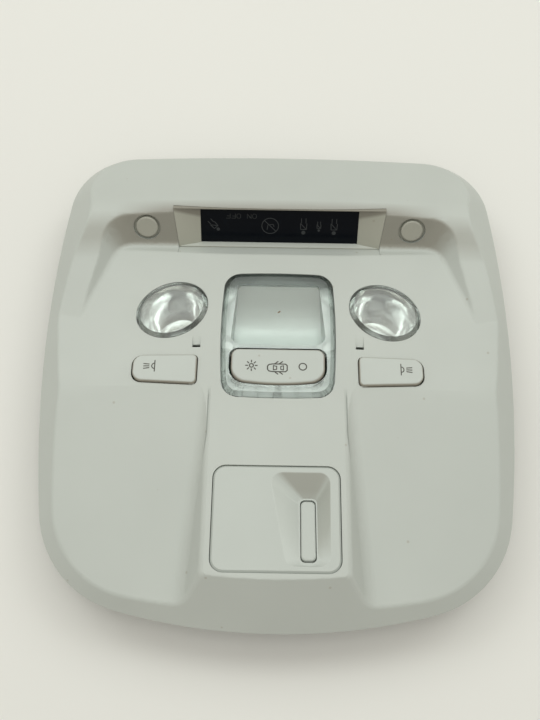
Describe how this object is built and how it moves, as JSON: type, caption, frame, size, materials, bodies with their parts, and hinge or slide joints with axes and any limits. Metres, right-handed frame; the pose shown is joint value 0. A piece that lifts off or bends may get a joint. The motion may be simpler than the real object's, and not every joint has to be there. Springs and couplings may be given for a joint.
{
  "type": "car overhead console",
  "caption": "Shield-shaped roof console for a car with a clear dome lamp and rocker, map lamps with push keys, a sloped indicator display and a finger scoop with a blind switch.",
  "frame": {"origin": "middle of the console's outline, at the level of the housing's back", "axes": "+X across the car to the right of the picture, +Y towards the display at the front, +Z out of the visible face"},
  "size_m": [0.2366, 0.25, 0.0489],
  "materials": {
    "cover_plastic": "satin moulded",
    "trim_plastic": "satin moulded",
    "bezel_plastic": "satin moulded",
    "clear_lens": "polished clear",
    "display_glass": "polished",
    "silvered_plastic": "vacuum metallised",
    "bulb_glass": "clear",
    "frame_plastic": "moulded",
    "holder_plastic": "moulded",
    "switch_plastic": "moulded",
    "slider_plastic": "moulded",
    "board": "solder masked",
    "spring_steel": "rolled sheet",
    "screw_steel": "zinc plated"
  },
  "bodies": {
    "console": {"front_cover": "cover_plastic", "blind_bezel": "trim_plastic", "display_bezel": "bezel_plastic", "alarm_sensor_right": "bezel_plastic", "alarm_sensor_left": "bezel_plastic", "dome_lens": "clear_lens", "map_lens_right": "clear_lens", "map_lens_left": "clear_lens", "display_window": "display_glass", "dome_reflector": "silvered_plastic", "map_reflector_right": "silvered_plastic", "map_reflector_left": "silvered_plastic", "dome_bulb": "bulb_glass", "map_bulb_right": "bulb_glass", "map_bulb_left": "bulb_glass", "dome_frame": "frame_plastic", "rear_housing": "frame_plastic", "dome_bulb_holder": "holder_plastic", "map_bulb_holder_right": "holder_plastic", "map_bulb_holder_left": "holder_plastic", "main_connector": "holder_plastic", "dome_switch": "switch_plastic", "map_switch_right": "switch_plastic", "map_switch_left": "switch_plastic", "blind_switch": "switch_plastic", "main_board": "board", "display_board": "board", "front_clip_right": "spring_steel", "front_clip_left": "spring_steel", "rear_clip_right": "spring_steel", "rear_clip_left": "spring_steel", "housing_screws": "screw_steel"},
    "dome_rocker": {"dome_rocker": "trim_plastic"},
    "dome_slider": {"dome_slider": "slider_plastic"},
    "map_button_right": {"map_button_right": "trim_plastic"},
    "map_button_left": {"map_button_left": "trim_plastic"},
    "map_plunger_right": {"map_plunger_right": "slider_plastic"},
    "map_plunger_left": {"map_plunger_left": "slider_plastic"},
    "blind_rocker": {"blind_rocker": "trim_plastic"},
    "blind_slider": {"blind_slider": "slider_plastic"}
  },
  "joints": [
    {"name": "dome_rocker_pivot", "type": "hinge", "parent": "console", "child": "dome_rocker", "pos_m": [0, -0.0005, 0.03333], "axis": [0, 0.9945, -0.1045], "range_deg": [-6, 6]},
    {"name": "dome_slider_travel", "type": "slide", "parent": "console", "child": "dome_slider", "axis": [1, 0, 0], "range_m": [-0.00056, 0.00056]},
    {"name": "map_button_right_pivot", "type": "hinge", "parent": "console", "child": "map_button_right", "pos_m": [0.04147, -0.00054, 0.03236], "axis": [-0.0073, 0.9945, -0.104], "range_deg": [0, 4], "stiffness_Nm_per_rad": 0.15, "springref_deg": -2.86},
    {"name": "map_button_left_pivot", "type": "hinge", "parent": "console", "child": "map_button_left", "pos_m": [-0.04147, -0.00054, 0.03236], "axis": [-0.0073, -0.9945, 0.104], "range_deg": [0, 4], "stiffness_Nm_per_rad": 0.15, "springref_deg": -2.86},
    {"name": "map_plunger_right_travel", "type": "slide", "parent": "console", "child": "map_plunger_right", "axis": [0, 0, -1], "range_m": [0, 0.0012]},
    {"name": "map_plunger_left_travel", "type": "slide", "parent": "console", "child": "map_plunger_left", "axis": [0, 0, -1], "range_m": [0, 0.0012]},
    {"name": "blind_rocker_pivot", "type": "hinge", "parent": "console", "child": "blind_rocker", "pos_m": [0.01465, -0.08205, 0.03834], "axis": [1, 0, 0], "range_deg": [-6, 6], "stiffness_Nm_per_rad": 0.15},
    {"name": "blind_slider_travel", "type": "slide", "parent": "console", "child": "blind_slider", "axis": [0, 0.9614, -0.2751], "range_m": [-0.00101, 0.00101]}
  ],
  "couplings": [
    {"joint": "dome_slider_travel", "follows": "dome_rocker_pivot", "m_per_rad": -0.005},
    {"joint": "map_plunger_right_travel", "follows": "map_button_right_pivot", "m_per_rad": 0.016},
    {"joint": "map_plunger_left_travel", "follows": "map_button_left_pivot", "m_per_rad": 0.016},
    {"joint": "blind_slider_travel", "follows": "blind_rocker_pivot", "m_per_rad": 0.009}
  ]
}
